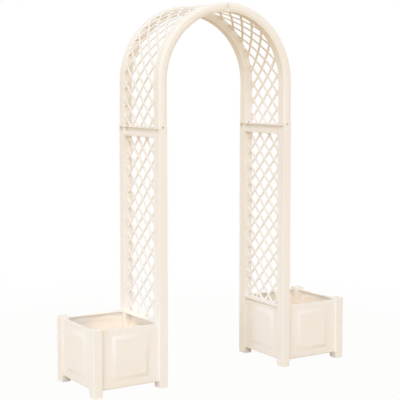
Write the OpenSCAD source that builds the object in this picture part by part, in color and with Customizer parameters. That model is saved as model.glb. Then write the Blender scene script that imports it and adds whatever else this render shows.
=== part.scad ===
// Garden arch with a square planter box at each foot.
// Origin at the middle of the footprint on the ground, X across the passage, Y to the back, Z up.
// The right half is drawn first and the left half is its mirror image.

/* [Overall sizes] */
// Clear width of the passage between the tall posts
passage_w = 740; // [600:10:1000]
// Depth from the front face to the back face
depth = 430; // [360:10:600]
// Width of one planter, measured across the passage
planter_w = 430; // [360:10:600]

/* [Posts] */
// Width of every post, across the passage
post_w = 50; // [40:1:70]
// Depth of every post, front to back
post_d = 55; // [40:1:80]
// Wall thickness of the hollow posts and ribs
post_wall = 3; // [2:0.5:5]
// Radius of the upright edges of the posts
post_round = 3; // [1:0.5:6]
// Height of the short corner posts
corner_post_h = 350; // [300:1:450]

/* [Planter] */
// Height of the underside of the planter floor
floor_z = 34; // [20:1:80]
// Thickness of the planter floor
floor_t = 4; // [3:0.5:8]
// Reach of the floor corners into the posts
floor_reach = 8; // [5:0.5:15]
// Diameter of the drain holes
drain_d = 12; // [6:1:20]
// Distance between the drain holes and the planter centre
drain_offset = 100; // [60:5:130]
// Thickness of the planter walls
wall_t = 4; // [3:0.5:8]
// Distance from the post faces back to the planter walls
wall_inset = 12; // [6:1:20]
// Distance from the planter walls in to the edge of the floor
floor_margin = 1; // [0:0.5:5]
// Reach of the planter walls into the post slots
wall_reach = 7; // [5:0.5:12]
// Height of the top face of the planter rim
rim_z = 338; // [300:1:420]
// Width of the rim flange
rim_w = 18; // [10:1:40]
// Thickness of the rim flange
rim_t = 5; // [3:0.5:10]
// Height of the top edge of the passage wall
passage_wall_z = 321; // [280:1:400]
// Width of the raised field on a planter wall
field_w = 215; // [120:5:280]
// Height of the lower edge of the raised field
field_z = 74; // [50:1:120]
// Height of the raised field
field_h = 232; // [120:1:260]
// Height of the raised field on the passage wall
passage_field_h = 222; // [120:1:240]
// Width of the bevel round the raised field
field_bevel = 20; // [8:1:40]
// Height of the raised field above its wall
field_rise = 8; // [3:0.5:11]

/* [Trellis] */
// Height of the underside of the lower rail
low_rail_z = 330; // [322:1:420]
// Height of the lower rail from its underside to its top
low_rail_h = 14; // [10:1:30]
// Height of the underside of the upper rail
top_rail_z = 1299; // [1150:1:1320]
// Height of the upper rail from its underside to its top
top_rail_h = 25; // [15:1:40]
// Height of the gap between the upper rail and the seam under the arch
joint_gap = 21; // [10:1:40]
// Wall thickness of the rails
rail_wall = 3; // [2:0.5:5]
// Length of the rail pegs that enter the posts
peg_reach = 8; // [5:0.5:14]
// Width of the rail pegs
peg_w = 30; // [12:1:36]
// Height of the rail pegs
peg_h = 6; // [3:0.5:8]
// Height of the pegs above the underside of the lower rail
low_peg_rise = 2; // [1:0.5:4]
// Height of the pegs above the underside of the upper rail
top_peg_rise = 14; // [8:0.5:15]
// Thickness of the lattice panels
lattice_t = 7; // [4:0.5:12]
// Width of one lattice strand
strand_w = 13; // [8:0.5:20]
// Distance between the openings of the flat lattice
trellis_pitch = 91; // [60:1:120]
// Height of the centre of the lowest full row of flat lattice openings
trellis_row_z = 378; // [360:1:420]
// Reach of the lattice edges into their grooves
lattice_reach = 4; // [2:0.5:8]
// Thickness of the tongue on top of the upper rail
tongue_t = 7; // [4:0.5:12]
// Distance from the posts to the part of the tongue that enters the arch rail
tongue_margin = 12; // [6:1:30]

/* [Arch] */
// Height of the straight part of the arch, from the seam to the level where it begins to curve
leg_h = 239; // [150:1:400]
// Width of the flat band on the rib faces
band_w = 19; // [10:1:28]
// Distance from the inner edge of a rib to that band
band_inset = 16; // [8:1:20]
// Drop of the sloping shoulders from the band to the edges of the rib
shoulder_drop = 5.5; // [1:0.5:8]
// Height of the plain block at the foot of a rib
rib_foot_h = 20; // [15:1:40]
// Length of the plain block at the top of a rib, in degrees of arc
rib_head_arc = 1.2; // [0.5:0.1:3]
// Distance from the edges of a rib in to that block
rib_head_inset = 1; // [0.5:0.5:3]
// Thickness of the plate that closes the foot of a rib
rib_plate_t = 3; // [2:0.5:5]
// Distance from the outer face of the ribs in to the arch lattice
vault_inset = 2.5; // [1:0.5:10]
// Distance between the openings of the arch lattice
arch_pitch = 92; // [60:1:120]
// Height above the seam of the centre of the lowest full row of arch openings
arch_row_s = 43; // [30:1:80]
// Width of the solid bar that ends the arch lattice at the top
end_bar_w = 12; // [6:1:30]
// Height of the rail under the arch lattice
arch_rail_h = 7; // [6:0.5:15]
// Height of the pegs of that rail
arch_peg_h = 3; // [2:0.5:5]
// Depth of the groove in that rail
arch_groove = 2.5; // [1:0.5:4]
// Reach of the tongue that joins two ribs at the top, in degrees of arc
apex_tongue = 6; // [3:0.5:12]
// Width of the chamfers that form the vee at the top seam
seam_groove = 1; // [0.5:0.5:3]

/* [Joints and screws] */
// Width of the tenon on top of a tall post
tenon_w = 24; // [16:1:36]
// Height of the tenon above the seam
tenon_rise = 40; // [25:1:80]
// Height of the screws above the seam
screw_rise = 9; // [7:0.5:15]
// Diameter of the screw heads
screw_head_d = 9; // [6:0.5:12]
// Height of the screw heads
screw_head_h = 2.5; // [1.5:0.5:4]
// Depth of the outer screw heads below the front and back faces
screw_sink = 1.5; // [0:0.5:3]
// Diameter of the screw shanks
screw_d = 4; // [3:0.5:6]
// Length of the screw shanks
screw_l = 12; // [8:1:20]
// Length of the two slots that cross in a screw head
screw_drive = 4.5; // [2:0.5:6]
// Width of those slots
screw_slot_w = 1; // [0.5:0.25:2]
// Diameter of the pockets for the outer screw heads
pocket_d = 11; // [8:0.5:16]
// Play on each side between pieces that slide into each other
play = 0.3; // [0.1:0.05:0.6]

/* [Hidden] */
$fn = 96;
cut = 1;
half_d = depth / 2;
r_in = passage_w / 2;
r_out = r_in + post_w;
x_out = r_in + planter_w;
x_mid = (r_in + x_out) / 2;
x_corner = x_out - post_w;
y_in = half_d - post_d;
post_x = r_in + post_w / 2;
wall_z = floor_z + floor_t;
gap_z = top_rail_z + top_rail_h;
joint_z = gap_z + joint_gap;
spring_z = joint_z + leg_h;
rib_wall_y = half_d - shoulder_drop - post_wall;
tenon_y = y_in + post_wall + play;
tenon_d = rib_wall_y - play - tenon_y;
low_peg_z = low_rail_z + low_peg_rise;
top_peg_z = top_rail_z + top_peg_rise;
arch_peg_z = joint_z + rib_plate_t + play;
screw_z = joint_z + screw_rise;
outer_seat_y = screw_sink + screw_head_h - half_d;
opening = trellis_pitch / sqrt(2) - strand_w;
arch_opening = arch_pitch / sqrt(2) - strand_w;
vault_r = r_out - vault_inset;
vault_mid = vault_r - lattice_t / 2;
outer_color = [0.93, 0.88, 0.81];
lattice_color = [0.90, 0.86, 0.80];
inner_color = [0.86, 0.79, 0.69];
steel_color = [0.62, 0.60, 0.57];

// A box between two corners
module block(a, b) {
  translate(a) cube(b - a);
}

// The outline of a post with rounded edges, its corner at the origin
module post_outline(w, d) {
  translate([post_round, 0]) square([w - 2 * post_round, d]);
  translate([0, post_round]) square([w, d - 2 * post_round]);
  for (x = [post_round, w - post_round], y = [post_round, d - post_round])
    translate([x, y]) circle(post_round);
}

// The slot that holds a wall: the wall's own thickness with play on both sides
module wall_slot(x, y, along, z1) {
  s = wall_t + 2 * play;
  size = along == "x" ? [wall_reach + play, s] : [s, wall_reach + play];
  translate([x, y, wall_z]) cube([size[0], size[1], z1 - wall_z]);
}

// The notch that carries a corner of the planter floor, from the inner corner of a post
module floor_notch(x, y, toward_x) {
  r = floor_reach + play;
  x0 = toward_x > 0 ? x : x - r;
  block([x0 - (toward_x > 0 ? cut : 0), y - r, floor_z],
        [x0 + r + (toward_x > 0 ? 0 : cut), y + cut, wall_z + 2 * play]);
}

// The hollow short post at the outer front corner of the right planter
module corner_post() {
  y0 = -half_d;
  difference() {
    translate([x_corner, y0, 0]) linear_extrude(corner_post_h) post_outline(post_w, post_d);
    block([x_corner + post_wall, y0 + post_wall, -cut],
          [x_out - post_wall, -y_in - post_wall, corner_post_h - post_wall]);
    wall_slot(x_corner - cut, y0 + wall_inset - play, "x", rim_z - rim_t + play);
    wall_slot(x_out - wall_inset - wall_t - play, -y_in - wall_reach, "y", rim_z - rim_t + play);
    floor_notch(x_corner, -y_in, 1);
  }
}

// The hollow tall post at the passage front corner of the right planter, with its tenon
module tall_post() {
  y0 = -half_d;
  difference() {
    union() {
      difference() {
        translate([r_in, y0, 0]) linear_extrude(joint_z) post_outline(post_w, post_d);
        block([r_in + post_wall, y0 + post_wall, -cut],
              [r_out - post_wall, -y_in - post_wall, gap_z - post_wall]);
        block([r_in - cut, y0 + post_wall, gap_z], [r_out + cut, -y_in - post_wall, joint_z + cut]);
      }
      block([post_x - tenon_w / 2, -tenon_y - tenon_d, gap_z - post_wall],
            [post_x + tenon_w / 2, -tenon_y, joint_z + tenon_rise]);
    }
    block([post_x - tenon_w / 2 + post_wall, -tenon_y - tenon_d + post_wall, gap_z - post_wall - cut],
          [post_x + tenon_w / 2 - post_wall, -tenon_y - post_wall, joint_z + tenon_rise - post_wall]);
    translate([post_x, -y_in, screw_z]) rotate([90, 0, 0])
      cylinder(d = screw_d + play, h = post_d);
    wall_slot(r_out - wall_reach, y0 + wall_inset - play, "x", rim_z - rim_t + play);
    wall_slot(r_in + wall_inset - play, -y_in - wall_reach, "y", passage_wall_z + play);
    floor_notch(r_out, -y_in, -1);
    lattice_groove();
    for (z = [low_peg_z, top_peg_z])
      peg_hole(z, peg_h, peg_reach);
  }
}

// The upright groove in a tall post for the edge of the flat lattice
module lattice_groove() {
  s = lattice_t / 2 + play;
  block([post_x - s, -y_in - lattice_reach - play, low_rail_z + low_rail_h - lattice_reach],
        [post_x + s, -y_in + cut, top_rail_z + lattice_reach + play]);
}

// The hole for a rail peg in the inner wall of a post or rib
module peg_hole(z, h, reach) {
  s = peg_w / 2 + play;
  block([post_x - s, -y_in - reach - play, z], [post_x + s, -y_in + cut, z + h + 2 * play]);
}

// The pegs at both ends of a rail
module rail_pegs(z, h, reach) {
  for (m = [0, 1]) mirror([0, m, 0])
    block([post_x - peg_w / 2, -y_in - reach, z], [post_x + peg_w / 2, -y_in + cut, z + h]);
}

// A raised field with a bevel on four sides, facing -Y, its middle at X = 0 and its foot at Z = 0
module raised_field(w, h) {
  a = atan(field_rise / field_bevel);
  l = field_rise / sin(a) + cut;
  difference() {
    block([-w / 2, -field_rise, 0], [w / 2, cut, h]);
    for (m = [0, 1]) mirror([m, 0, 0])
      translate([w / 2, 0, -cut]) rotate([0, 0, a]) translate([-l, -2 * field_rise, 0])
        cube([l + cut, 2 * field_rise, h + 2 * cut]);
    translate([-w / 2 - cut, 0, 0]) rotate([a, 0, 0]) translate([0, -2 * field_rise, -cut])
      cube([w + 2 * cut, 2 * field_rise, l + cut]);
    translate([-w / 2 - cut, 0, h]) rotate([-a, 0, 0]) translate([0, -2 * field_rise, -l])
      cube([w + 2 * cut, 2 * field_rise, l + cut]);
  }
}

// A planter wall facing -Y, its outer face at Y = 0 and the clear span between its posts centred on X = 0.
// The raised field is hollow behind, so the wall keeps one thickness.
module planter_wall(span, z1, field, rim) {
  w = span / 2 + wall_reach;
  difference() {
    union() {
      block([-w, 0, wall_z], [w, wall_t, z1]);
      translate([0, 0, field_z]) raised_field(field_w, field);
    }
    translate([0, wall_t, field_z]) raised_field(field_w, field);
  }
  if (rim)
    block([play - span / 2, 0, z1], [span / 2 - play, rim_w, z1 + rim_t]);
}

module front_wall() {
  translate([x_mid, wall_inset - half_d, 0])
    planter_wall(planter_w - 2 * post_w, rim_z - rim_t, field_h, true);
}

module outer_wall() {
  translate([x_out - wall_inset, 0, 0]) rotate([0, 0, 90])
    planter_wall(2 * y_in, rim_z - rim_t, field_h, true);
}

module passage_wall() {
  translate([r_in + wall_inset, 0, 0]) rotate([0, 0, -90])
    planter_wall(2 * y_in, passage_wall_z, passage_field_h, false);
}

// The floor lies under the four walls, its corners in the notches of the posts
module planter_floor() {
  e = wall_inset + floor_margin;
  difference() {
    union() {
      block([r_out + play, e - half_d, floor_z], [x_corner - play, half_d - e, wall_z]);
      block([r_in + e, play - y_in, floor_z], [x_out - e, y_in - play, wall_z]);
      block([r_out - floor_reach, -y_in - floor_reach, floor_z],
            [x_corner + floor_reach, y_in + floor_reach, wall_z]);
    }
    for (x = [-drain_offset, drain_offset], y = [-drain_offset, drain_offset])
      translate([x_mid + x, y, floor_z - cut]) cylinder(d = drain_d, h = floor_t + 2 * cut);
    translate([x_mid, 0, floor_z - cut]) cylinder(d = drain_d, h = floor_t + 2 * cut);
  }
}

// The lower rail is open underneath and has a groove for the lattice in its top
module lower_rail() {
  z1 = low_rail_z + low_rail_h;
  y1 = y_in - play;
  s = lattice_t / 2 + play;
  difference() {
    union() {
      block([r_in, -y1, low_rail_z], [r_out, y1, z1]);
      rail_pegs(low_peg_z, peg_h, peg_reach);
    }
    block([r_in + rail_wall, -y1 + rail_wall, low_rail_z - cut],
          [r_out - rail_wall, y1 - rail_wall, z1 - lattice_reach - rail_wall]);
    block([post_x - s, -y_in - peg_reach - cut, z1 - lattice_reach],
          [post_x + s, y_in + peg_reach + cut, z1 + cut]);
  }
}

// The upper rail is a hollow box, with a slot underneath for the lattice and a tongue on top.
// The tongue closes the gap below the seam, and its middle part goes on up through the arch rail.
module upper_rail() {
  z1 = gap_z;
  y1 = y_in - play;
  s = lattice_t / 2 + play;
  difference() {
    union() {
      block([r_in, -y1, top_rail_z], [r_out, y1, z1]);
      rail_pegs(top_peg_z, peg_h, peg_reach);
    }
    block([r_in + rail_wall, -y1 + rail_wall, top_rail_z + lattice_reach + rail_wall],
          [r_out - rail_wall, y1 - rail_wall, z1 - rail_wall]);
    block([post_x - s, -y1 - cut, top_rail_z - cut], [post_x + s, y1 + cut, top_rail_z + lattice_reach]);
  }
  block([post_x - tongue_t / 2, -y1, z1 - rail_wall / 2], [post_x + tongue_t / 2, y1, joint_z]);
  block([post_x - tongue_t / 2, tongue_margin - y_in, z1],
        [post_x + tongue_t / 2, y_in - tongue_margin, joint_z + arch_rail_h]);
}

// The Y places of the openings in a row: three in a full row, four in the row between
function row_y(full, pitch) = full ? [-pitch, 0, pitch] : [-1.5 * pitch, -pitch / 2, pitch / 2, 1.5 * pitch];

// The flat diamond lattice between two tall posts
module trellis_lattice() {
  y1 = y_in + lattice_reach;
  z0 = low_rail_z + low_rail_h;
  rows = ceil((top_rail_z - z0) / trellis_pitch) + 1;
  difference() {
    block([post_x - lattice_t / 2, -y1, z0 - lattice_reach],
          [post_x + lattice_t / 2, y1, top_rail_z + lattice_reach]);
    intersection() {
      block([r_in, cut - y_in, z0 + cut], [r_out, y_in - cut, top_rail_z - cut]);
      for (k = [-1 : 2 * rows], y = row_y(k % 2 == 0, trellis_pitch))
        translate([post_x, y, trellis_row_z + k * trellis_pitch / 2]) rotate([45, 0, 0])
          cube([post_w, opening, opening], center = true);
    }
  }
}

// The outline of a rib: X is the radius and Y the distance from the middle plane
module rib_section() {
  edge = half_d - shoulder_drop;
  band_r = r_in + band_inset;
  polygon([
    [r_in, y_in], [r_out, y_in], [r_out, edge],
    [band_r + band_w, half_d], [band_r, half_d], [r_in, edge]
  ]);
}

// The outline of the block that evens out the shoulders at the top of a rib, with the same axes
module head_section() {
  translate([r_in + rib_head_inset, rib_wall_y])
    square([post_w - 2 * rib_head_inset, half_d - rib_wall_y]);
}

// The hollow inside a rib, with the same axes
module rib_hollow() {
  translate([r_in + post_wall, y_in + post_wall])
    square([post_w - 2 * post_wall, rib_wall_y - y_in - post_wall]);
}

// The groove in a rib for the edge of the arch lattice, with the same axes
module rib_groove() {
  translate([vault_r - lattice_t - play, y_in - cut])
    square([lattice_t + 2 * play, cut + lattice_reach + play]);
}

// A quarter ring drawn from a section, starting at the spring line
module quarter(from = 0, to = 90) {
  translate([0, 0, spring_z]) rotate([90, 0, 0]) rotate([0, 0, from])
    rotate_extrude(angle = to - from) children();
}

// A straight leg drawn from the same section, between two heights
module leg(z0, z1) {
  translate([0, 0, z0]) linear_extrude(z1 - z0) mirror([0, 1]) children();
}

// The section of the tongue between two ribs, clear of the lattice edge, with the same axes
module tongue_section() {
  y0 = y_in + lattice_reach + 2 * play;
  translate([r_in + post_wall + play, y0])
    square([post_w - 2 * post_wall - 2 * play, rib_wall_y - play - y0]);
}

// What the chamfer on a rib's front edge at the top seam cuts away
module seam_cut() {
  e = seam_groove + cut;
  translate([0, 0, spring_z + r_in - cut]) linear_extrude(post_w + 2 * cut)
    polygon([[e, -half_d - cut], [-cut, e - half_d], [-cut, -half_d - cut]]);
}

// One hollow rib of the right half: straight leg, quarter circle, and a tongue at the top if asked for
module arch_rib(tongue) {
  difference() {
    union() {
      leg(joint_z, spring_z) rib_section();
      quarter() rib_section();
      quarter(90 - rib_head_arc, 90) head_section();
      translate([r_in, -half_d, joint_z]) linear_extrude(rib_foot_h) post_outline(post_w, post_d);
    }
    leg(joint_z + rib_plate_t, spring_z) rib_hollow();
    quarter(0, tongue ? 90 - apex_tongue / 2 : 90) rib_hollow();
    leg(joint_z + arch_rail_h - arch_groove, spring_z) rib_groove();
    quarter() rib_groove();
    block([post_x - tenon_w / 2 - play, -rib_wall_y, joint_z - cut],
          [post_x + tenon_w / 2 + play, play - tenon_y, joint_z + rib_plate_t + cut]);
    peg_hole(arch_peg_z, arch_peg_h, post_wall);
    translate([post_x, cut - y_in, screw_z]) rotate([90, 0, 0])
      cylinder(d = screw_d + 2 * play, h = post_d + 2 * cut);
    translate([post_x, outer_seat_y, screw_z]) rotate([90, 0, 0])
      cylinder(d = pocket_d, h = post_d);
    seam_cut();
  }
  if (tongue)
    quarter(90 - apex_tongue / 4, 90 + apex_tongue) tongue_section();
}

// The rail under the arch lattice, slotted for the tongue and notched at its ends for the screw heads
module arch_rail() {
  z1 = joint_z + arch_rail_h;
  y1 = y_in - play;
  s = tongue_t / 2 + play;
  tongue_y = y_in - tongue_margin + play;
  head_r = screw_head_d / 2 + play;
  difference() {
    union() {
      block([r_in, -y1, joint_z], [r_out, y1, z1]);
      rail_pegs(arch_peg_z, arch_peg_h, post_wall);
    }
    block([post_x - s, -tongue_y, joint_z - cut], [post_x + s, tongue_y, z1 + cut]);
    for (m = [0, 1]) mirror([0, m, 0])
      block([post_x - head_r, -y_in, screw_z - head_r],
            [post_x + head_r, screw_head_h + play - y_in, z1 + cut]);
    block([vault_r - lattice_t - play, -y1 - cut, z1 - arch_groove],
          [vault_r + play, y1 + cut, z1 + cut]);
  }
}

// The curved diamond lattice of the right half, with openings that point at the centre of the curve
module arch_lattice() {
  y1 = y_in + lattice_reach;
  z0 = joint_z + arch_rail_h;
  rows = floor((leg_h + vault_mid * PI / 2 - arch_row_s) / (arch_pitch / 2));
  difference() {
    union() {
      block([vault_r - lattice_t, -y1, z0 - arch_groove], [vault_r, y1, spring_z]);
      quarter() translate([vault_r - lattice_t, -y1]) square([lattice_t, 2 * y1]);
    }
    block([-cut, -y1 - cut, spring_z], [play, y1 + cut, spring_z + r_out + cut]);
    intersection() {
      block([end_bar_w, cut - y_in, z0 + cut], [r_out + cut, y_in - cut, spring_z + r_out + cut]);
      for (k = [-1 : rows], y = row_y(k % 2 == 0, arch_pitch))
        translate([0, y, 0]) arch_cutter(arch_row_s + k * arch_pitch / 2);
    }
  }
}

// One square prism for an opening whose centre is the length s above the seam, measured along the lattice
module arch_cutter(s) {
  turn = s > leg_h ? (s - leg_h) / vault_mid * 180 / PI : 0;
  lift = s > leg_h ? 0 : s - leg_h;
  translate([0, 0, spring_z + lift]) rotate([0, -turn, 0]) translate([vault_mid, 0, 0]) rotate([45, 0, 0])
    cube([3 * lattice_t, arch_opening, arch_opening], center = true);
}

// One screw with its head at Y = 0 and its shank along +Y
module screw() {
  rotate([-90, 0, 0]) {
    cylinder(d = screw_d, h = screw_l);
    difference() {
      translate([0, 0, -screw_head_h]) cylinder(d = screw_head_d, h = screw_head_h);
      for (a = [0, 90])
        rotate([0, 0, a]) translate([-screw_drive / 2, -screw_slot_w / 2, -screw_head_h - cut])
          cube([screw_drive, screw_slot_w, cut + screw_head_h / 2]);
    }
  }
}

// The two screws of the right front leg: one in its front face and one in its inner face
module leg_screws() {
  translate([post_x, outer_seat_y, screw_z]) screw();
  translate([post_x, -y_in, screw_z]) rotate([0, 0, 180]) screw();
}

module right_planter_floor() { color(inner_color) planter_floor(); }
module right_planter_front_wall() { color(outer_color) front_wall(); }
module right_planter_back_wall() { color(outer_color) mirror([0, 1, 0]) front_wall(); }
module right_planter_outer_wall() { color(outer_color) outer_wall(); }
module right_planter_passage_wall() { color(outer_color) passage_wall(); }
module right_corner_post_front() { color(outer_color) corner_post(); }
module right_corner_post_back() { color(outer_color) mirror([0, 1, 0]) corner_post(); }
module right_tall_post_front() { color(outer_color) tall_post(); }
module right_tall_post_back() { color(outer_color) mirror([0, 1, 0]) tall_post(); }
module right_trellis_lower_rail() { color(outer_color) lower_rail(); }
module right_trellis_upper_rail() { color(outer_color) upper_rail(); }
module right_trellis_lattice() { color(lattice_color) trellis_lattice(); }
module right_arch_rib_front() { color(outer_color) arch_rib(false); }
module right_arch_rib_back() { color(outer_color) mirror([0, 1, 0]) arch_rib(true); }
module right_arch_rail() { color(outer_color) arch_rail(); }
module right_arch_lattice() { color(lattice_color) arch_lattice(); }

module left_planter_floor() { color(inner_color) mirror([1, 0, 0]) planter_floor(); }
module left_planter_front_wall() { color(outer_color) mirror([1, 0, 0]) front_wall(); }
module left_planter_back_wall() { color(outer_color) mirror([1, 0, 0]) mirror([0, 1, 0]) front_wall(); }
module left_planter_outer_wall() { color(outer_color) mirror([1, 0, 0]) outer_wall(); }
module left_planter_passage_wall() { color(outer_color) mirror([1, 0, 0]) passage_wall(); }
module left_corner_post_front() { color(outer_color) mirror([1, 0, 0]) corner_post(); }
module left_corner_post_back() { color(outer_color) mirror([1, 0, 0]) mirror([0, 1, 0]) corner_post(); }
module left_tall_post_front() { color(outer_color) mirror([1, 0, 0]) tall_post(); }
module left_tall_post_back() { color(outer_color) mirror([1, 0, 0]) mirror([0, 1, 0]) tall_post(); }
module left_trellis_lower_rail() { color(outer_color) mirror([1, 0, 0]) lower_rail(); }
module left_trellis_upper_rail() { color(outer_color) mirror([1, 0, 0]) upper_rail(); }
module left_trellis_lattice() { color(lattice_color) mirror([1, 0, 0]) trellis_lattice(); }
module left_arch_rib_front() { color(outer_color) mirror([1, 0, 0]) arch_rib(true); }
module left_arch_rib_back() { color(outer_color) mirror([1, 0, 0]) mirror([0, 1, 0]) arch_rib(false); }
module left_arch_rail() { color(outer_color) mirror([1, 0, 0]) arch_rail(); }
module left_arch_lattice() { color(lattice_color) mirror([1, 0, 0]) arch_lattice(); }

module joint_screws() {
  color(steel_color)
    for (mx = [0, 1], my = [0, 1]) mirror([mx, 0, 0]) mirror([0, my, 0]) leg_screws();
}

left_planter_floor();
left_planter_front_wall();
left_planter_back_wall();
left_planter_outer_wall();
left_planter_passage_wall();
left_corner_post_front();
left_corner_post_back();
left_tall_post_front();
left_tall_post_back();
left_trellis_lower_rail();
left_trellis_upper_rail();
left_trellis_lattice();
left_arch_rib_front();
left_arch_rib_back();
left_arch_rail();
left_arch_lattice();
right_planter_floor();
right_planter_front_wall();
right_planter_back_wall();
right_planter_outer_wall();
right_planter_passage_wall();
right_corner_post_front();
right_corner_post_back();
right_tall_post_front();
right_tall_post_back();
right_trellis_lower_rail();
right_trellis_upper_rail();
right_trellis_lattice();
right_arch_rib_front();
right_arch_rib_back();
right_arch_rail();
right_arch_lattice();
joint_screws();
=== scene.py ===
"""The looks of a cream plastic garden arch: a round lattice arch and trellis sides on two planter boxes.

Every shape is drawn in millimetres for the right half of the arch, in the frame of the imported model: X runs
across the passage, Y to the back and Z up. What both ends have is drawn for the front. The others are mirror
images.
"""

import logging
import math
from dataclasses import dataclass
from enum import Enum
from typing import Any, Callable, Iterable, Sequence

import bmesh
import bpy
from bmesh.types import BMEdge, BMFace, BMVert
from mathutils import Euler, Matrix, Vector


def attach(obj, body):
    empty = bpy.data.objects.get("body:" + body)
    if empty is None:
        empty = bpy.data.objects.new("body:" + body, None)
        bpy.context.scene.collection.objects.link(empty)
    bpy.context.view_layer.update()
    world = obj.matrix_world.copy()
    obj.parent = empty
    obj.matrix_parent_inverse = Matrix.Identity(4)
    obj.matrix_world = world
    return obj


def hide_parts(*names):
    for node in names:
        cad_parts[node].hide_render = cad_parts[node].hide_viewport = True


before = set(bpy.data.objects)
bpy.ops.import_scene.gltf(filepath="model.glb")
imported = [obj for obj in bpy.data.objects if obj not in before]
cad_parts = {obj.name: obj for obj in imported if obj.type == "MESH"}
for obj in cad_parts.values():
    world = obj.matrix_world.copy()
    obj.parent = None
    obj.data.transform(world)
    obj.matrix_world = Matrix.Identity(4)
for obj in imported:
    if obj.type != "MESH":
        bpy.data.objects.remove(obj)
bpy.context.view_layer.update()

MM = 0.001
BODY = "root"
# Edges that turn by more than the first angle can be softened, and by more than the second shade as sharp
CREASE_ANGLE = math.radians(10)
SHARP_ANGLE = math.radians(50)
# The least cosine between a face's normal and a direction that it faces
FACING = 0.999
# The modifier's weight for large faces against the roundings beside them
FACE_WEIGHT = 90
# Distances in millimetres within which places count as one: in a test, for a cut and for merging
TINY = 1e-4
CUT_TINY = 1e-6
MERGE_TINY = 1e-3
# How far in millimetres the blocks of one moulding run into each other
OVERLAP = 1.0
log = logging.getLogger("garden_arch")


class Side(Enum):
    """A half of the arch, as the sign of its X."""

    LEFT = -1
    RIGHT = 1

    @property
    def prefix(self) -> str:
        """The start of the names of this half's nodes."""
        return self.name.lower()


class End(Enum):
    """An end of the passage, as the factor that takes a piece drawn for the front there."""

    FRONT = 1
    BACK = -1

    @property
    def suffix(self) -> str:
        """The end of the names of this end's nodes."""
        return self.name.lower()


class Slot(Enum):
    """The record's material slots."""

    CREAM = "cream_plastic"
    LATTICE = "lattice_plastic"
    FLOOR = "floor_plastic"
    SCREW = "screw_steel"


def linear(hex_colour: str) -> tuple[float, float, float, float]:
    """Turns an sRGB hex colour to the linear values that a shader takes.

    Args:
        hex_colour: Six hex digits after a hash sign.

    Returns:
        Red, green, blue and an alpha of 1.
    """
    values = [int(hex_colour[i : i + 2], 16) / 255 for i in (1, 3, 5)]
    r, g, b = (v / 12.92 if v <= 0.04045 else ((v + 0.055) / 1.055) ** 2.4 for v in values)
    return r, g, b, 1.0


def add_node(
    tree: bpy.types.NodeTree, kind: str, links: dict[str, Any] | None = None, **settings: Any
) -> bpy.types.Node:
    """Adds a node with its settings and links.

    Args:
        tree: The node tree.
        kind: The node's type name.
        links: Input names with the output socket to link, or the value to set.
        **settings: The node's own properties.

    Returns:
        The new node.
    """
    made = tree.nodes.new(kind)
    for name, value in settings.items():
        setattr(made, name, value)
    for name, value in (links or {}).items():
        socket = made.inputs[int(name)] if name.isdigit() else made.inputs[name]
        if isinstance(value, bpy.types.NodeSocket):
            tree.links.new(value, socket)
        else:
            socket.default_value = value
    return made


@dataclass(frozen=True)
class Layout:
    """Sizes that the sub-assemblies share, in millimetres, with the names and values of the part's source."""

    passage_w: float = 740.0
    depth: float = 430.0
    planter_w: float = 430.0
    spring_z: float = 1584.0
    joint_z: float = 1345.0
    post_w: float = 50.0
    post_d: float = 55.0
    post_wall: float = 3.0
    post_round: float = 3.0
    play: float = 0.3

    @property
    def half_d(self) -> float:
        """Half the depth, which is where the front face lies."""
        return self.depth / 2

    @property
    def r_in(self) -> float:
        """The inner radius of the arch."""
        return self.passage_w / 2

    @property
    def r_out(self) -> float:
        """The outer radius of the arch."""
        return self.r_in + self.post_w

    @property
    def x_out(self) -> float:
        """The outer side of the planter."""
        return self.r_in + self.planter_w

    @property
    def x_corner(self) -> float:
        """The inner side of the corner posts."""
        return self.x_out - self.post_w

    @property
    def x_mid(self) -> float:
        """The middle of the planter."""
        return (self.r_in + self.x_out) / 2

    @property
    def post_x(self) -> float:
        """The middle of the tall posts."""
        return self.r_in + self.post_w / 2

    @property
    def y_in(self) -> float:
        """The distance from the middle plane to the inner faces of the posts."""
        return self.half_d - self.post_d


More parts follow.
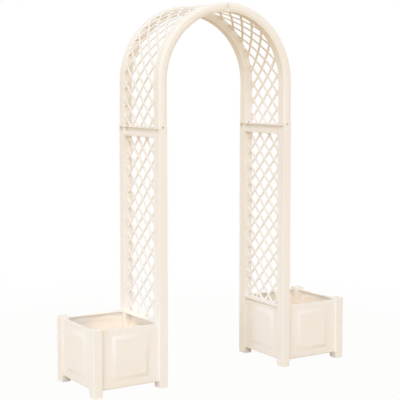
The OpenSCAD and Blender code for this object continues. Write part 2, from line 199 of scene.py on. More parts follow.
class Moulding:
    """One moulded piece while it is being shaped, in millimetres."""

    def __init__(self) -> None:
        """Starts an empty piece."""
        self.bm = bmesh.new()

    def block(self, low: Sequence[float], high: Sequence[float]) -> list[BMVert]:
        """Adds a box between two corners.

        Args:
            low: The lowest corner.
            high: The highest corner.

        Returns:
            The box's vertices.
        """
        made = bmesh.ops.create_cube(self.bm, size=1.0)["verts"]
        a, b = Vector(low), Vector(high)
        bmesh.ops.scale(self.bm, vec=b - a, verts=made)
        bmesh.ops.translate(self.bm, vec=(a + b) / 2, verts=made)
        return made

    def outline(self, points: Iterable[Sequence[float]]) -> BMFace:
        """Adds a flat face from its corners.

        Args:
            points: The corners in order.

        Returns:
            The face.
        """
        return self.bm.faces.new([self.bm.verts.new(p) for p in points])

    def round_corners(self, corners: Iterable[BMVert], radius: float, segments: int = 3) -> None:
        """Rounds the corners of a flat outline.

        Args:
            corners: The corner vertices.
            radius: The distance from each corner to where the rounding starts.
            segments: The number of edges in each rounding.
        """
        bmesh.ops.bevel(
            self.bm, geom=list(corners), offset=radius, offset_type="OFFSET", segments=segments,
            profile=0.5, affect="VERTICES", material=-1, clamp_overlap=True,
        )

    def take(self, other: "Moulding") -> None:
        """Adds another moulding's shape and ends that moulding.

        Args:
            other: The other moulding.
        """
        part = bpy.data.meshes.new("part")
        other.bm.to_mesh(part)
        other.bm.free()
        self.bm.from_mesh(part)
        bpy.data.meshes.remove(part)

    def extrude(self, faces: Iterable[BMFace], sweep: Sequence[float]) -> list[BMFace]:
        """Extrudes faces and moves the new ones. The old ones go, unless they are the whole piece so far.

        Args:
            faces: The faces to extrude.
            sweep: How far the new faces move.

        Returns:
            The moved faces.
        """
        old = list(faces)
        is_whole = len(old) == len(self.bm.faces)
        made = bmesh.ops.extrude_face_region(self.bm, geom=old)["geom"]
        moved = [g for g in made if isinstance(g, BMVert)]
        bmesh.ops.translate(self.bm, vec=Vector(sweep), verts=moved)
        if not is_whole:
            bmesh.ops.delete(self.bm, geom=old, context="FACES_ONLY")
        return [g for g in made if isinstance(g, BMFace)]

    def soften(self, edges: Iterable[BMEdge], radius: float, segments: int = 2) -> None:
        """Rounds edges.

        Args:
            edges: The edges.
            radius: The width of the rounding on each face.
            segments: The number of faces across it.
        """
        bmesh.ops.bevel(
            self.bm, geom=list(edges), offset=radius, offset_type="OFFSET", segments=segments,
            profile=0.5, affect="EDGES", material=-1, clamp_overlap=True,
        )

    def sharp(self, test: Callable[[Vector, Vector], bool]) -> list[BMEdge]:
        """Finds sharp edges.

        Args:
            test: Takes the two ends of an edge and says whether it is wanted.

        Returns:
            The edges that turn by more than CREASE_ANGLE and pass the test.
        """
        return [
            e for e in self.bm.edges
            if len(e.link_faces) == 2
            and e.calc_face_angle(0.0) > CREASE_ANGLE
            and test(e.verts[0].co, e.verts[1].co)
        ]

    def facing(self, normal: Sequence[float], near: Sequence[float]) -> BMFace:
        """Finds the face that looks one way and whose middle is nearest to a point.

        Args:
            normal: The direction it faces.
            near: The point.

        Returns:
            The face.
        """
        self.bm.normal_update()
        wanted, point = Vector(normal), Vector(near)
        faces = [f for f in self.bm.faces if f.normal.dot(wanted) > FACING]
        return min(faces, key=lambda f: (f.calc_center_median() - point).length)

    def slice(self, point: Sequence[float], normal: Sequence[float], clear: bool = False) -> list[BMEdge]:
        """Cuts new edges into the piece along a plane.

        Args:
            point: A point on the plane.
            normal: The plane's normal.
            clear: Whether what lies on the normal's side goes.

        Returns:
            The edges on the plane.
        """
        geometry = [*self.bm.verts, *self.bm.edges, *self.bm.faces]
        cut = bmesh.ops.bisect_plane(
            self.bm, geom=geometry, dist=CUT_TINY, plane_co=point, plane_no=normal, clear_outer=clear
        )["geom_cut"]
        return [g for g in cut if isinstance(g, BMEdge)]

    def clip(self, point: Sequence[float], normal: Sequence[float]) -> None:
        """Cuts off what lies beyond a plane and closes the cut.

        Args:
            point: A point on the plane.
            normal: The side that goes.
        """
        bmesh.ops.holes_fill(self.bm, edges=self.slice(point, normal, clear=True), sides=0)

    def pocket(self, face: BMFace, centre: Sequence[float], radius: float, depth: float) -> BMFace:
        """Sinks a round pocket into a square face, whose sides are divided and moved onto the circle.

        Args:
            face: The square face, which is wider than the pocket.
            centre: The middle of the pocket on that face.
            radius: The pocket's radius.
            depth: The pocket's depth.

        Returns:
            The floor of the pocket.
        """
        middle, inward = Vector(centre), face.normal.copy() * -depth
        inset_share, side_cuts, near = 0.2, 7, 0.05
        bmesh.ops.inset_region(self.bm, faces=[face], thickness=radius * inset_share, use_even_offset=True)
        bmesh.ops.subdivide_edges(self.bm, edges=list(face.edges), cuts=side_cuts)
        central = [f for f in self.bm.faces if (f.calc_center_median() - middle).length < near]
        rim = max(central, key=lambda f: len(f.verts))
        for v in rim.verts:
            v.co = middle + (v.co - middle).normalized() * radius
        return self.extrude([rim], inward)[0]

    def turned(self, angle: float, axis: str) -> None:
        """Turns the whole piece about the origin.

        Args:
            angle: The angle in degrees.
            axis: X, Y or Z.
        """
        turn = Matrix.Rotation(math.radians(angle), 3, axis)
        bmesh.ops.rotate(self.bm, verts=self.bm.verts, cent=(0, 0, 0), matrix=turn)

    def moved(self, x: float, y: float, z: float) -> None:
        """Moves the whole piece.

        Args:
            x: Distance along X.
            y: Distance along Y.
            z: Distance along Z.
        """
        bmesh.ops.translate(self.bm, vec=(x, y, z), verts=self.bm.verts)

    def finished(self, name: str, side: Side, end: End = End.FRONT) -> bpy.types.Object:
        """Makes the object, with its place in its mesh.

        Args:
            name: The object's name.
            side: The half it belongs to.
            end: The end of the passage it belongs to.

        Returns:
            The object, at the origin.
        """
        bmesh.ops.scale(self.bm, vec=(side.value * MM, end.value * MM, MM), verts=self.bm.verts)
        bmesh.ops.recalc_face_normals(self.bm, faces=self.bm.faces)
        for face in self.bm.faces:
            face.smooth = True
        for edge in self.bm.edges:
            edge.smooth = edge.calc_face_angle(0.0) < SHARP_ANGLE
        mesh = bpy.data.meshes.new(name)
        self.bm.to_mesh(mesh)
        self.bm.free()
        made = bpy.data.objects.new(name, mesh)
        bpy.context.scene.collection.objects.link(made)
        shade = made.modifiers.new("even_shading", "WEIGHTED_NORMAL")
        shade.weight = FACE_WEIGHT
        shade.keep_sharp = True
        return made


@dataclass(frozen=True)
class MouldedPolypropylene:
    """Cream polypropylene, injection moulded in a finely eroded mould.

    It looks satin and a little waxy. A small share of the light goes a few millimetres in and comes back
    warmer, except in the thin strands of the lattices.
    """

    name: str = "cream_polypropylene_moulded"
    colour: str = "#F8F2EB"
    cloud_colour: str = "#F8EFE4"
    glow: tuple[float, float, float] = (1.0, 0.8, 0.6)
    glow_depth_mm: float = 2.0
    glow_share: float = 0.1
    cloud_mm: float = 140.0
    cloud_detail: float = 2.0
    grain_mm: float = 2.5
    grain_detail: float = 3.0
    grain_strength: float = 0.10
    grain_depth_mm: float = 0.4
    roughness: tuple[float, float] = (0.40, 0.52)
    ior: float = 1.49

    def build(self) -> bpy.types.Material:
        """Makes the material.

        Returns:
            The material, on Object coordinates.
        """
        made = bpy.data.materials.new(self.name)
        made.use_nodes = True
        tree = made.node_tree
        shader = tree.nodes["Principled BSDF"]
        place = add_node(tree, "ShaderNodeTexCoord").outputs["Object"]
        # Slow clouds, as wide as the flow of the melt leaves them in a large moulding
        cloud = add_node(tree, "ShaderNodeTexNoise", {
            "Vector": place, "Scale": 1 / (self.cloud_mm * MM), "Detail": self.cloud_detail})
        colour = add_node(
            tree, "ShaderNodeMix",
            {"Factor": cloud.outputs["Fac"], "6": linear(self.colour), "7": linear(self.cloud_colour)},
            data_type="RGBA",
        )
        # The eroded mould leaves a grain of about 0.3 mm. It is drawn at 2.5 mm so that it still shows here.
        grain = add_node(tree, "ShaderNodeTexNoise", {
            "Vector": place, "Scale": 1 / (self.grain_mm * MM), "Detail": self.grain_detail})
        low, high = self.roughness
        gloss = add_node(tree, "ShaderNodeMapRange", {
            "Value": grain.outputs["Fac"], "To Min": low, "To Max": high})
        relief = add_node(tree, "ShaderNodeBump", {
            "Height": grain.outputs["Fac"], "Strength": self.grain_strength,
            "Distance": self.grain_depth_mm * MM})
        tree.links.new(colour.outputs[2], shader.inputs["Base Color"])
        tree.links.new(gloss.outputs["Result"], shader.inputs["Roughness"])
        tree.links.new(relief.outputs["Normal"], shader.inputs["Normal"])
        shader.inputs["IOR"].default_value = self.ior
        shader.inputs["Subsurface Weight"].default_value = self.glow_share
        shader.inputs["Subsurface Radius"].default_value = self.glow
        shader.inputs["Subsurface Scale"].default_value = self.glow_depth_mm * MM
        return made


@dataclass(frozen=True)
class ZincPlatedSteel:
    """Steel, cold headed and zinc plated with a yellow passivation.

    It looks a dull straw colour, with soft reflections.
    """

    name: str = "zinc_plated_steel"
    colour: str = "#D9C39A"
    dark_colour: str = "#C4AA7E"
    stain_mm: float = 4.0
    roughness: tuple[float, float] = (0.35, 0.55)

    def build(self) -> bpy.types.Material:
        """Makes the material.

        Returns:
            The material, on Object coordinates.
        """
        made = bpy.data.materials.new(self.name)
        made.use_nodes = True
        tree = made.node_tree
        shader = tree.nodes["Principled BSDF"]
        place = add_node(tree, "ShaderNodeTexCoord").outputs["Object"]
        # The plating dries in stains about as wide as half a screw head
        stain = add_node(tree, "ShaderNodeTexNoise", {"Vector": place, "Scale": 1 / (self.stain_mm * MM)})
        colour = add_node(
            tree, "ShaderNodeMix",
            {"Factor": stain.outputs["Fac"], "6": linear(self.colour), "7": linear(self.dark_colour)},
            data_type="RGBA",
        )
        low, high = self.roughness
        gloss = add_node(tree, "ShaderNodeMapRange", {
            "Value": stain.outputs["Fac"], "To Min": low, "To Max": high})
        tree.links.new(colour.outputs[2], shader.inputs["Base Color"])
        tree.links.new(gloss.outputs["Result"], shader.inputs["Roughness"])
        shader.inputs["Metallic"].default_value = 1.0
        return made


class Workshop:
    """Holds the finishes, and puts each finished piece on its body with its slot."""

    def __init__(self) -> None:
        """Makes the materials of all slots."""
        cream = MouldedPolypropylene()
        lattice = MouldedPolypropylene(name="cream_polypropylene_lattice", cloud_mm=90.0, glow_share=0.0)
        floor = MouldedPolypropylene(
            name="cream_polypropylene_floor", colour="#F2E6D5", cloud_colour="#EEE0CC"
        )
        self.materials = {
            Slot.CREAM: cream.build(),
            Slot.LATTICE: lattice.build(),
            Slot.FLOOR: floor.build(),
            Slot.SCREW: ZincPlatedSteel().build(),
        }
        self.count = 0

    def dress(self, piece: bpy.types.Object, node: str, slot: Slot) -> None:
        """Gives a new piece its material, body and slot, and hides the CAD node that it stands for.

        Args:
            piece: The finished piece.
            node: The CAD node it stands for.
            slot: Its material slot.
        """
        piece.data.materials.append(self.materials[slot])
        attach(piece, BODY)
        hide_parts(node)
        self.count += 1
        log.info("%s stands for %s, %d faces", piece.name, node, len(piece.data.polygons))

    def finish_node(self, node: str, slot: Slot) -> None:
        """Gives a CAD node that stays its material.

        Args:
            node: The CAD node.
            slot: Its material slot.
        """
        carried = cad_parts[node]
        carried.data.materials.clear()
        carried.data.materials.append(self.materials[slot])
        self.count += 1
        log.info("%s stays as it is, %d faces", node, len(carried.data.polygons))


@dataclass
class PlanterBox:
    """One square planter: four walls with raised fields, two short corner posts and the floor."""

    layout: Layout
    corner_post_h: float = 350.0
    cap_edge: float = 2.2
    wall_z: float = 38.0
    wall_t: float = 4.0
    wall_inset: float = 12.0
    wall_reach: float = 7.0
    rim_z: float = 338.0
    rim_w: float = 18.0
    rim_t: float = 5.0
    passage_wall_z: float = 321.0
    field_w: float = 215.0
    field_z: float = 74.0
    field_h: float = 232.0
    passage_field_h: float = 222.0
    field_bevel: float = 20.0
    field_rise: float = 8.0
    ridge_edge: float = 3.0
    wall_edge: float = 1.6
    tongue_inset: float = 0.5
    tongue_drop: float = 1.0

    def post(self) -> Moulding:
        """Shapes the hollow corner post of the right front quarter.

        Returns:
            The post.
        """
        size, made = self.layout, Moulding()
        x0, y0, h = size.x_corner, -size.half_d, self.corner_post_h
        foot = made.outline([
            (x0, y0, 0), (x0 + size.post_w, y0, 0),
            (x0 + size.post_w, y0 + size.post_d, 0), (x0, y0 + size.post_d, 0),
        ])
        made.round_corners(foot.verts, size.post_round)
        made.extrude(made.bm.faces, (0, 0, h))
        bmesh.ops.recalc_face_normals(made.bm, faces=made.bm.faces)
        hollow = made.facing((0, 0, -1), (x0, y0, 0))
        bmesh.ops.inset_region(made.bm, faces=[hollow], thickness=size.post_wall, use_even_offset=True)
        made.extrude([hollow], (0, 0, h - size.post_wall))
        top = made.sharp(lambda a, b: a.z > h - TINY and b.z > h - TINY)
        made.soften(top, self.cap_edge, segments=3)
        return made

    def wall(self, span: float, top: float, field_h: float, rim: bool) -> Moulding:
        """Shapes a wall that faces -Y, with its outer face at Y = 0.

        Args:
            span: The clear distance between its posts.
            top: The height of its top edge.
            field_h: The height of its raised field.
            rim: Whether it has a rim flange.

        Returns:
            The wall.
        """
        made = Moulding()
        half, z0, t = span / 2 - self.layout.play, self.wall_z, self.wall_t
        if rim:
            under = top - self.rim_t
            section = [(0, z0), (0, top), (self.rim_w, top), (self.rim_w, under), (t, under), (t, z0)]
        else:
            section = [(0, z0), (0, top), (t, top), (t, z0)]
        made.outline([(-half, y, z) for y, z in section])
        made.extrude(made.bm.faces, (2 * half, 0, 0))
        bmesh.ops.recalc_face_normals(made.bm, faces=made.bm.faces)
        w, z1, z2 = self.field_w / 2, self.field_z, self.field_z + field_h
        for x in (-w, w):
            made.slice((x, 0, 0), (1, 0, 0))
        for z in (z1, z2):
            made.slice((0, 0, z), (0, 0, 1))
        for normal, y, rise in (((0, -1, 0), 0, 1), ((0, 1, 0), t, -1)):
            field_face = made.facing(normal, (0, y, (z1 + z2) / 2))
            bmesh.ops.inset_region(
                made.bm, faces=[field_face], thickness=self.field_bevel, depth=rise * self.field_rise,
                use_even_offset=True,
            )
        ridges = [-self.field_rise, t - self.field_rise]
        ridge_edges = made.sharp(
            lambda a, b: any(abs(a.y - r) < TINY and abs(b.y - r) < TINY for r in ridges)
        )
        made.soften(ridge_edges, self.ridge_edge, segments=3)
        # Known fault: the second case looks only at an edge's first end, and either end can come first, so it
        # varies from run to run which stretches next to the posts are rounded and which stay sharp
        long_edges = made.sharp(
            lambda a, b: abs(a.x - b.x) > 2 * w - TINY or abs(abs(a.x) - half) > TINY
            and abs(a.z - b.z) < TINY and (a.z > top - self.rim_t - TINY or a.z < z0 + TINY)
        )
        made.soften(long_edges, self.wall_edge)
        # Tongues that enter the slots of the posts
        inset, drop = self.tongue_inset, self.tongue_drop
        for s in (-1, 1):
            near, far = sorted((s * half, s * (span / 2 + self.wall_reach)))
            made.block((near, inset, z0 + drop), (far, t - inset, top - self.rim_t - drop))
        return made

    def build(self, shop: Workshop, side: Side) -> None:
        """Builds and dresses one planter.

        Args:
            shop: The finishes.
            side: The half to build.
        """
        size, name = self.layout, side.prefix
        across, along = size.planter_w - 2 * size.post_w, 2 * size.y_in
        for end in End:
            post = self.post().finished(f"{name}_corner_post_{end.suffix}_shell", side, end)
            shop.dress(post, f"{name}_corner_post_{end.suffix}", Slot.CREAM)
            face = self.wall(across, self.rim_z, self.field_h, True)
            face.moved(size.x_mid, self.wall_inset - size.half_d, 0)
            face_piece = face.finished(f"{name}_planter_{end.suffix}_wall_shell", side, end)
            shop.dress(face_piece, f"{name}_planter_{end.suffix}_wall", Slot.CREAM)
        outer = self.wall(along, self.rim_z, self.field_h, True)
        outer.turned(90, "Z")
        outer.moved(size.x_out - self.wall_inset, 0, 0)
        outer_piece = outer.finished(f"{name}_planter_outer_wall_shell", side)
        shop.dress(outer_piece, f"{name}_planter_outer_wall", Slot.CREAM)
        inner = self.wall(along, self.passage_wall_z, self.passage_field_h, False)
        inner.turned(-90, "Z")
        inner.moved(size.r_in + self.wall_inset, 0, 0)
        inner_piece = inner.finished(f"{name}_planter_passage_wall_shell", side)
        shop.dress(inner_piece, f"{name}_planter_passage_wall", Slot.CREAM)
        shop.finish_node(f"{name}_planter_floor", Slot.FLOOR)


@dataclass(frozen=True)
class LatticeSizes:
    """The sizes of a diamond lattice, in millimetres, in a flat sheet of width Y and length Z."""

    half_width: float
    start: float
    stop: float
    pitch: float
    first_row: float
    strand_w: float = 13.0
    thickness: float = 7.0
    step: float = 0.6
    rounding: float = 1.8


def lattice_sheet(sizes: LatticeSizes) -> Moulding:
    """Shapes a flat diamond lattice in the plane X = 0.

    The strands of one direction stand a little proud of the others, as where a mould copies crossed laths.

    Args:
        sizes: The lattice's sizes.

    Returns:
        The lattice, not yet in its place.
    """
    made = Moulding()
    width = sizes.half_width
    reach = width + sizes.strand_w
    length = 2 * reach * math.sqrt(2)
    for turn, depth in ((-45, sizes.thickness), (45, sizes.thickness - 2 * sizes.step)):
        centre = sizes.first_row + sizes.pitch / 2
        centre -= math.ceil((centre + reach - sizes.start) / sizes.pitch) * sizes.pitch
        while centre - reach < sizes.stop:
            bar = Moulding()
            corner = Vector((depth / 2, sizes.strand_w / 2, length / 2))
            bar.block(-corner, corner)
            bar.soften(bar.sharp(lambda a, b: abs(a.z - b.z) > TINY), sizes.rounding)
            bar.turned(turn, "X")
            bar.moved(0, 0, centre)
            made.take(bar)
            centre += sizes.pitch
    made.clip((0, width, 0), (0, 1, 0))
    made.clip((0, -width, 0), (0, -1, 0))
    made.clip((0, 0, sizes.stop), (0, 0, 1))
    made.clip((0, 0, sizes.start), (0, 0, -1))
    return made


@dataclass
class TrellisSide:
    """One trellis side: two tall posts, the two rails between them and the flat lattice."""

    layout: Layout
    low_rail_z: float = 330.0
    low_rail_h: float = 14.0
    top_rail_z: float = 1299.0
    top_rail_h: float = 25.0
    tongue_t: float = 7.0
    tongue_margin: float = 12.0
    tongue_drop: float = 0.5
    arch_rail_h: float = 7.0
    lattice_reach: float = 4.0
    pitch: float = 91.0
    first_row: float = 378.0
    tenon_w: float = 24.0
    tenon_d: float = 42.9
    tenon_rise: float = 40.0
    tenon_edge: float = 1.5
    head_edge: float = 0.7
    rail_edge: float = 2.0

    @property
    def gap_z(self) -> float:
        """The height of the top of the upper rail."""
        return self.top_rail_z + self.top_rail_h

    def post(self) -> Moulding:
        """Shapes the hollow tall post of the right front quarter, with the notch and tenon at its head.

        Returns:
            The post.
        """
        size, made = self.layout, Moulding()
        y0, y1, top, t = -size.half_d, -size.y_in, size.joint_z, size.post_wall
        made.outline([(size.r_in, y, z) for y, z in (
            (y0, 0), (y0, top), (y0 + t, top), (y0 + t, self.gap_z),
            (y1 - t, self.gap_z), (y1 - t, top), (y1, top), (y1, 0),
        )])
        made.extrude(made.bm.faces, (size.post_w, 0, 0))
        bmesh.ops.recalc_face_normals(made.bm, faces=made.bm.faces)
        upright = made.sharp(
            lambda a, b: abs(a.z - b.z) > top - TINY and min(abs(a.y - y0), abs(a.y - y1)) < TINY
        )
        made.soften(upright, size.post_round, segments=3)
        hollow = made.facing((0, 0, -1), (size.post_x, (y0 + y1) / 2, 0))
        bmesh.ops.inset_region(made.bm, faces=[hollow], thickness=t, use_even_offset=True)
        made.extrude([hollow], (0, 0, self.gap_z - t))
        made.soften(made.sharp(lambda a, b: a.z > top - TINY and b.z > top - TINY), self.head_edge)
        ty = -size.y_in - t - size.play
        tenon = made.block(
            (size.post_x - self.tenon_w / 2, ty - self.tenon_d, self.gap_z - t / 2),
            (size.post_x + self.tenon_w / 2, ty, top + self.tenon_rise),
        )
        made.soften({e for v in tenon for e in v.link_edges}, self.tenon_edge)
        return made

    def rail(self, low: float, high: float) -> Moulding:
        """Shapes a rail between the tall posts.

        Args:
            low: The height of its underside.
            high: The height of its top.

        Returns:
            The rail.
        """
        size, made = self.layout, Moulding()
        y = size.y_in - size.play
        made.block((size.r_in, -y, low), (size.r_out, y, high))
        made.soften(made.sharp(lambda a, b: abs(a.y - b.y) > TINY), self.rail_edge, segments=3)
        return made

    def upper_rail(self) -> Moulding:
        """Shapes the upper rail with the tongue that closes the gap above it and enters the arch.

        Returns:
            The rail.
        """
        size, made = self.layout, self.rail(self.top_rail_z, self.gap_z)
        y, x, t = size.y_in - size.play, size.post_x, self.tongue_t / 2
        made.block((x - t, -y, self.gap_z - OVERLAP), (x + t, y, size.joint_z))
        inner, tip = size.y_in - self.tongue_margin, size.joint_z + self.arch_rail_h - self.tongue_drop
        made.block((x - t, -inner, size.joint_z - OVERLAP), (x + t, inner, tip))
        return made

    def lattice(self) -> Moulding:
        """Shapes the flat lattice in its place between the posts.

        Returns:
            The lattice.
        """
        size = self.layout
        made = lattice_sheet(LatticeSizes(
            half_width=size.y_in + self.lattice_reach,
            start=self.low_rail_z + self.low_rail_h - self.lattice_reach,
            stop=self.top_rail_z + self.lattice_reach,
            pitch=self.pitch,
            first_row=self.first_row,
        ))
        made.moved(size.post_x, 0, 0)
        return made

    def build(self, shop: Workshop, side: Side) -> None:
        """Builds and dresses one trellis side.

        Args:
            shop: The finishes.
            side: The half to build.
        """
        name = side.prefix
        for end in End:
            post = self.post().finished(f"{name}_tall_post_{end.suffix}_shell", side, end)
            shop.dress(post, f"{name}_tall_post_{end.suffix}", Slot.CREAM)
        low = self.rail(self.low_rail_z, self.low_rail_z + self.low_rail_h)
        shop.dress(low.finished(f"{name}_lower_rail_shell", side), f"{name}_trellis_lower_rail", Slot.CREAM)
        top = self.upper_rail()
        shop.dress(top.finished(f"{name}_upper_rail_shell", side), f"{name}_trellis_upper_rail", Slot.CREAM)
        sheet = self.lattice()
        shop.dress(sheet.finished(f"{name}_trellis_strands", side), f"{name}_trellis_lattice", Slot.LATTICE)


@dataclass
class ArchHalf:
    """One half of the arch: two ribs, the rail at their feet and the curved lattice."""

    layout: Layout
    band_w: float = 19.0
    band_inset: float = 16.0
    shoulder_drop: float = 5.5
    head_l: float = 8.3
    head_inset: float = 1.0
    shoulder_round: float = 2.5
    band_round: float = 1.5
    head_edge: float = 0.8
    rib_foot_h: float = 20.0
    foot_edge: float = 0.7
    lattice_inset: float = 2.5
    lattice_t: float = 7.0
    lattice_reach: float = 4.0
    groove: float = 2.5
    pitch: float = 92.0
    first_row: float = 43.0
    end_bar_w: float = 12.0
    rail_h: float = 7.0
    rail_edge: float = 1.6
    tongue_t: float = 7.0
    tongue_margin: float = 12.0
    screw_rise: float = 9.0
    pocket_d: float = 11.0
    pocket_depth: float = 4.0
    pocket_margin: float = 1.6
    seam_chamfer: float = 0.6
    arc_steps: int = 40

    @property
    def lattice_radius(self) -> float:
        """The radius of the middle of the curved lattice."""
        return self.layout.r_out - self.lattice_inset - self.lattice_t / 2

    @property
    def leg_h(self) -> float:
        """The straight height of the arch above its seam."""
        return self.layout.spring_z - self.layout.joint_z

    def rib(self) -> Moulding:
        """Shapes the rib of the right front quarter: foot block, straight leg, quarter circle and head block.

        Returns:
            The rib.
        """
        size, made = self.layout, Moulding()
        face, back = -size.half_d, -size.y_in
        edge = face + self.shoulder_drop
        r0, r1 = size.r_in + self.band_inset, size.r_in + self.band_inset + self.band_w
        foot_top = size.joint_z + self.rib_foot_h
        start = foot_top - OVERLAP
        section = made.outline([(x, y, start) for x, y in (
            (size.r_in, back), (size.r_in, edge), (r0, face),
            (r1, face), (size.r_out, edge), (size.r_out, back),
        )])
        corners = list(section.verts)
        made.round_corners([corners[i] for i in (0, 1, 4, 5)], self.shoulder_round)
        band = [v for v in made.bm.verts if abs(v.co.y - face) < TINY]
        made.round_corners(band, self.band_round, segments=2)
        end_faces = made.extrude(made.bm.faces, (0, 0, size.spring_z - start))
        geometry = list({g for f in end_faces for g in (f, *f.edges, *f.verts)})
        bmesh.ops.spin(
            made.bm, geom=geometry, cent=(0, 0, size.spring_z), axis=(0, -1, 0), angle=math.pi / 2,
            steps=self.arc_steps, use_merge=False, use_duplicate=False,
        )
        bmesh.ops.remove_doubles(made.bm, verts=made.bm.verts, dist=MERGE_TINY)
        bmesh.ops.recalc_face_normals(made.bm, faces=made.bm.faces)
        seam = made.sharp(lambda a, b: abs(a.x) < TINY and abs(b.x) < TINY)
        made.soften(seam, self.seam_chamfer, segments=1)
        head = made.block(
            (0, face, size.spring_z + size.r_in + self.head_inset),
            (self.head_l, edge + size.post_wall, size.spring_z + size.r_out - self.head_inset),
        )
        made.soften({e for v in head for e in v.link_edges}, self.head_edge)
        self.add_foot(made, foot_top)
        return made

    def add_foot(self, rib: Moulding, top: float) -> None:
        """Adds the plain block at the foot of a rib, with the pocket of its outer screw.

        Args:
            rib: The rib.
            top: The height of the block's top.
        """
        size, foot = self.layout, Moulding()
        z = size.joint_z + self.screw_rise
        foot.block((size.r_in, -size.half_d, size.joint_z), (size.r_out, -size.y_in, top))
        foot.soften(foot.sharp(lambda a, b: abs(a.z - b.z) > TINY), size.post_round, segments=3)
        foot.soften(foot.sharp(lambda a, b: abs(a.z - b.z) < TINY), self.foot_edge)
        half = self.pocket_d / 2 + self.pocket_margin
        for x in (-half, half):
            foot.slice((size.post_x + x, 0, 0), (1, 0, 0))
        for h in (-half, half):
            foot.slice((0, 0, z + h), (0, 0, 1))
        spot = (size.post_x, -size.half_d, z)
        foot.pocket(foot.facing((0, -1, 0), spot), spot, self.pocket_d / 2, self.pocket_depth)
        rib.take(foot)

    def rail(self) -> Moulding:
        """Shapes the rail under the lattice, with the slot for the tongue of the upper rail.

        Returns:
            The rail.
        """
        size, made = self.layout, Moulding()
        y, low, high = size.y_in - size.play, size.joint_z, size.joint_z + self.rail_h
        made.block((size.r_in, -y, low), (size.r_out, y, high))
        made.soften(made.sharp(lambda a, b: abs(a.y - b.y) > TINY), self.rail_edge)
        slot_x, slot_y = self.tongue_t / 2 + size.play, size.y_in - self.tongue_margin + size.play
        for x in (-slot_x, slot_x):
            made.slice((size.post_x + x, 0, 0), (1, 0, 0))
        for edge in (-slot_y, slot_y):
            made.slice((0, edge, 0), (0, 1, 0))
        upper = made.facing((0, 0, 1), (size.post_x, 0, high))
        lower = made.facing((0, 0, -1), (size.post_x, 0, low))
        rims = [*upper.edges, *lower.edges]
        bmesh.ops.delete(made.bm, geom=[upper, lower], context="FACES_ONLY")
        bmesh.ops.bridge_loops(made.bm, edges=rims)
        return made

    def curved(self, point: Vector) -> Vector:
        """Bends a point of the flat lattice sheet to its place on the arch.

        Args:
            point: X is the distance outwards from the lattice's middle, Y its place across, and Z the length
                above the seam.

        Returns:
            The point in the frame.
        """
        radius = self.lattice_radius + point.x
        if point.z <= self.leg_h:
            return Vector((radius, point.y, self.layout.joint_z + point.z))
        turn = (point.z - self.leg_h) / self.lattice_radius
        return Vector((radius * math.cos(turn), point.y, self.layout.spring_z + radius * math.sin(turn)))

    def lattice(self) -> Moulding:
        """Shapes the curved lattice from a flat sheet that is cut into narrow strips and bent.

        Returns:
            The lattice.
        """
        size = self.layout
        arc = self.lattice_radius * math.pi / 2
        stop = self.leg_h + arc
        width, depth = size.y_in + self.lattice_reach, self.lattice_t / 2
        made = lattice_sheet(LatticeSizes(
            half_width=width,
            start=self.rail_h - self.groove,
            stop=stop - self.end_bar_w + OVERLAP,
            pitch=self.pitch,
            first_row=self.first_row,
        ))
        made.block((-depth, -width, stop - self.end_bar_w), (depth, width, stop - size.play))
        for i in range(self.arc_steps):
            made.slice((0, 0, self.leg_h + i * arc / self.arc_steps), (0, 0, 1))
        for v in made.bm.verts:
            v.co = self.curved(v.co)
        return made

    def build(self, shop: Workshop, side: Side) -> None:
        """Builds and dresses one half of the arch.

        Args:
            shop: The finishes.
            side: The half to build.
        """
        name = side.prefix
        for end in End:
            rib = self.rib().finished(f"{name}_arch_rib_{end.suffix}_shell", side, end)
            shop.dress(rib, f"{name}_arch_rib_{end.suffix}", Slot.CREAM)
        shop.dress(self.rail().finished(f"{name}_arch_rail_shell", side), f"{name}_arch_rail", Slot.CREAM)
        sheet = self.lattice()
        shop.dress(sheet.finished(f"{name}_arch_strands", side), f"{name}_arch_lattice", Slot.LATTICE)


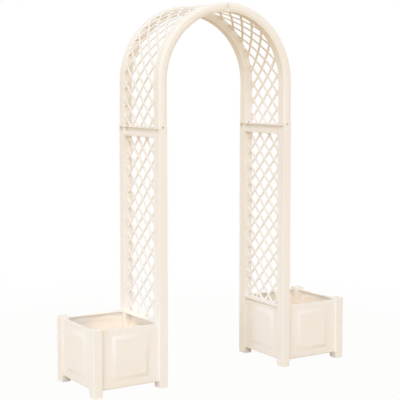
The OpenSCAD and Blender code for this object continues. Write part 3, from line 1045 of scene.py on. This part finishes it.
@dataclass
class Studio:
    """A pale floor, a white surround and four lamps, in metres.

    A wide softbox hangs behind, left of and above the camera. A low cool lamp from the left lights the
    planters, and a small warm one over each planter lights its inside.
    """

    layout: Layout
    floor_size: float = 60.0
    floor_colour: str = "#CDB186"
    world_colour: str = "#F4F5EE"
    horizon_strength: float = 1.37
    zenith_strength: float = 0.60
    floor_share: float = 0.97
    fade_start: float = 1.4
    fade_end: float = 3.2
    key_place: tuple[float, float, float] = (-7.4, -9.0, 8.0)
    key_target: tuple[float, float, float] = (0.0, 0.0, 1.0)
    key_width: float = 9.0
    key_power: float = 625.0
    key_colour: tuple[float, float, float] = (0.87, 1.00, 1.31)
    fill_place: tuple[float, float, float] = (-8.4, -3.4, 1.0)
    fill_target: tuple[float, float, float] = (0.5, 0.0, 0.1)
    fill_angle: float = 14.0
    fill_blend: float = 1.0
    fill_radius: float = 0.8
    fill_power: float = 720.0
    fill_colour: tuple[float, float, float] = (0.58, 0.80, 1.15)
    spot_offset: tuple[float, float, float] = (-0.22, -0.22, 0.55)
    spot_target: tuple[float, float, float] = (0.06, 0.06, 0.26)
    spot_angle: float = 34.0
    spot_blend: float = 0.7
    spot_radius: float = 0.04
    spot_power: float = 10.0
    spot_colour: tuple[float, float, float] = (1.0, 0.80, 0.52)

    def build_floor(self) -> None:
        """Makes the floor, which shows nearly white to the camera and still keeps a soft shadow."""
        shape = bmesh.new()
        bmesh.ops.create_grid(shape, x_segments=1, y_segments=1, size=self.floor_size / 2)
        mesh = bpy.data.meshes.new("studio_floor")
        shape.to_mesh(mesh)
        shape.free()
        floor = bpy.data.objects.new("studio_floor", mesh)
        bpy.context.scene.collection.objects.link(floor)
        # Kraft paper: the light that it returns is warm, and the camera and reflections see it nearly white
        made = bpy.data.materials.new("matt_kraft_paper")
        made.use_nodes = True
        tree = made.node_tree
        tree.nodes.clear()
        paper = add_node(tree, "ShaderNodeBsdfDiffuse", {"Color": linear(self.floor_colour)})
        white = add_node(tree, "ShaderNodeEmission", {"Color": (1, 1, 1, 1), "Strength": 1.0})
        path = add_node(tree, "ShaderNodeLightPath")
        seen = add_node(tree, "ShaderNodeMath", {
            "0": path.outputs["Is Camera Ray"], "1": path.outputs["Is Glossy Ray"]}, operation="MAXIMUM")
        # The paper runs out into pure white with the distance from the arch, so that no horizon shows
        place = add_node(tree, "ShaderNodeTexCoord").outputs["Object"]
        away = add_node(tree, "ShaderNodeVectorMath", {"0": place}, operation="LENGTH")
        rise = add_node(tree, "ShaderNodeMapRange", {
            "Value": away.outputs["Value"], "From Min": self.fade_start, "From Max": self.fade_end,
            "To Min": self.floor_share, "To Max": 1.0}, interpolation_type="SMOOTHSTEP")
        share = add_node(tree, "ShaderNodeMath", {
            "0": seen.outputs[0], "1": rise.outputs["Result"]}, operation="MULTIPLY")
        both = add_node(tree, "ShaderNodeMixShader", {
            "0": share.outputs[0], "1": paper.outputs[0], "2": white.outputs[0]})
        add_node(tree, "ShaderNodeOutputMaterial", {"Surface": both.outputs[0]})
        mesh.materials.append(made)

    def build_world(self) -> None:
        """Makes the surround, whose light fades towards the top and which the camera sees as white."""
        world = bpy.data.worlds.new("white_surround")
        world.use_nodes = True
        tree = world.node_tree
        tree.nodes.clear()
        direction = add_node(tree, "ShaderNodeTexCoord").outputs["Object"]
        height = add_node(tree, "ShaderNodeSeparateXYZ", {"0": direction}).outputs["Z"]
        strength = add_node(tree, "ShaderNodeMapRange", {
            "Value": height, "To Min": self.horizon_strength, "To Max": self.zenith_strength})
        light = add_node(tree, "ShaderNodeBackground", {
            "Color": linear(self.world_colour), "Strength": strength.outputs["Result"]})
        white = add_node(tree, "ShaderNodeBackground", {"Color": (1, 1, 1, 1), "Strength": 1.0})
        path = add_node(tree, "ShaderNodeLightPath")
        seen = add_node(tree, "ShaderNodeMath", {
            "0": path.outputs["Is Camera Ray"], "1": path.outputs["Is Glossy Ray"]}, operation="MAXIMUM")
        both = add_node(tree, "ShaderNodeMixShader", {
            "0": seen.outputs[0], "1": light.outputs[0], "2": white.outputs[0]})
        add_node(tree, "ShaderNodeOutputWorld", {"Surface": both.outputs[0]})
        bpy.context.scene.world = world

    @staticmethod
    def spot_lamp(name: str, power: float, colour: tuple[float, float, float], angle: float,
                  blend: float, width: float) -> bpy.types.Light:
        """Makes a spot lamp.

        Args:
            name: Its name.
            power: Its power in watts.
            colour: The linear colour of its light.
            angle: The width of its cone in degrees.
            blend: How soft the edge of the cone is, from 0 to 1.
            width: The radius of the lamp in metres, which softens its shadows.

        Returns:
            The lamp's data.
        """
        spot = bpy.data.lights.new(name, "SPOT")
        spot.energy, spot.color, spot.shadow_soft_size = power, colour, width
        spot.spot_size, spot.spot_blend = math.radians(angle), blend
        return spot

    def place_lamp(self, data: bpy.types.Light, place: Vector, target: Vector) -> None:
        """Places a lamp and turns it to what it lights.

        Args:
            data: The lamp's data.
            place: Where it stands.
            target: What it points at.
        """
        lamp = bpy.data.objects.new(data.name, data)
        lamp.location = place
        lamp.rotation_euler = (target - place).to_track_quat("-Z", "Y").to_euler()
        bpy.context.scene.collection.objects.link(lamp)

    def build_lamps(self) -> None:
        """Places the softbox, a low cool lamp for the planters and a narrow lamp for the inside of each."""
        key = bpy.data.lights.new("softbox", "AREA")
        key.shape, key.size, key.energy, key.color = "SQUARE", self.key_width, self.key_power, self.key_colour
        self.place_lamp(key, Vector(self.key_place), Vector(self.key_target))
        fill = self.spot_lamp(
            "low_fill_lamp", self.fill_power, self.fill_colour, self.fill_angle,
            self.fill_blend, self.fill_radius,
        )
        self.place_lamp(fill, Vector(self.fill_place), Vector(self.fill_target))
        x, y, z = self.spot_target
        for side in Side:
            spot = self.spot_lamp(
                f"{side.prefix}_planter_lamp", self.spot_power, self.spot_colour, self.spot_angle,
                self.spot_blend, self.spot_radius,
            )
            target = Vector((side.value * self.layout.x_mid * MM + x, y, z))
            self.place_lamp(spot, target + Vector(self.spot_offset), target)

    def build(self) -> None:
        """Builds the whole studio."""
        self.build_floor()
        self.build_world()
        self.build_lamps()
        settings = bpy.context.scene.view_settings
        settings.view_transform = "Standard"
        log.info("studio with a softbox, a low lamp and %d planter lamps", len(Side))


@dataclass(frozen=True)
class Viewpoint:
    """The camera at the photograph's angle, measured from the object's upright and level lines."""

    place: tuple[float, float, float] = (-3.251, -5.093, 1.605)
    yaw: float = 32.25
    pitch: float = 4.63
    focal_px: float = 1106.5
    frame_px: float = 400.0
    sensor: float = 36.0
    shift_y: float = -0.08
    clip: tuple[float, float] = (0.1, 200.0)

    def build(self) -> None:
        """Makes the camera and sets it as the scene's own."""
        data = bpy.data.cameras.new("viewpoint")
        data.sensor_width = self.sensor
        data.lens = self.focal_px / self.frame_px * self.sensor
        data.shift_y = self.shift_y
        data.clip_start, data.clip_end = self.clip
        camera = bpy.data.objects.new("viewpoint", data)
        camera.location = self.place
        camera.rotation_euler = Euler((math.radians(90 - self.pitch), 0, math.radians(-self.yaw)))
        bpy.context.scene.collection.objects.link(camera)
        bpy.context.scene.camera = camera
        log.info("camera with a %.1f mm lens", data.lens)


def main() -> None:
    """Builds the camera, the studio and the arch, piece by piece."""
    logging.basicConfig(level=logging.INFO, format="%(message)s")
    Viewpoint().build()
    layout = Layout()
    Studio(layout).build()
    shop = Workshop()
    for side in Side:
        PlanterBox(layout).build(shop, side)
        TrellisSide(layout).build(shop, side)
        ArchHalf(layout).build(shop, side)
    shop.finish_node("joint_screws", Slot.SCREW)
    log.info("%d pieces", shop.count)


if __name__ == "__main__":
    main()
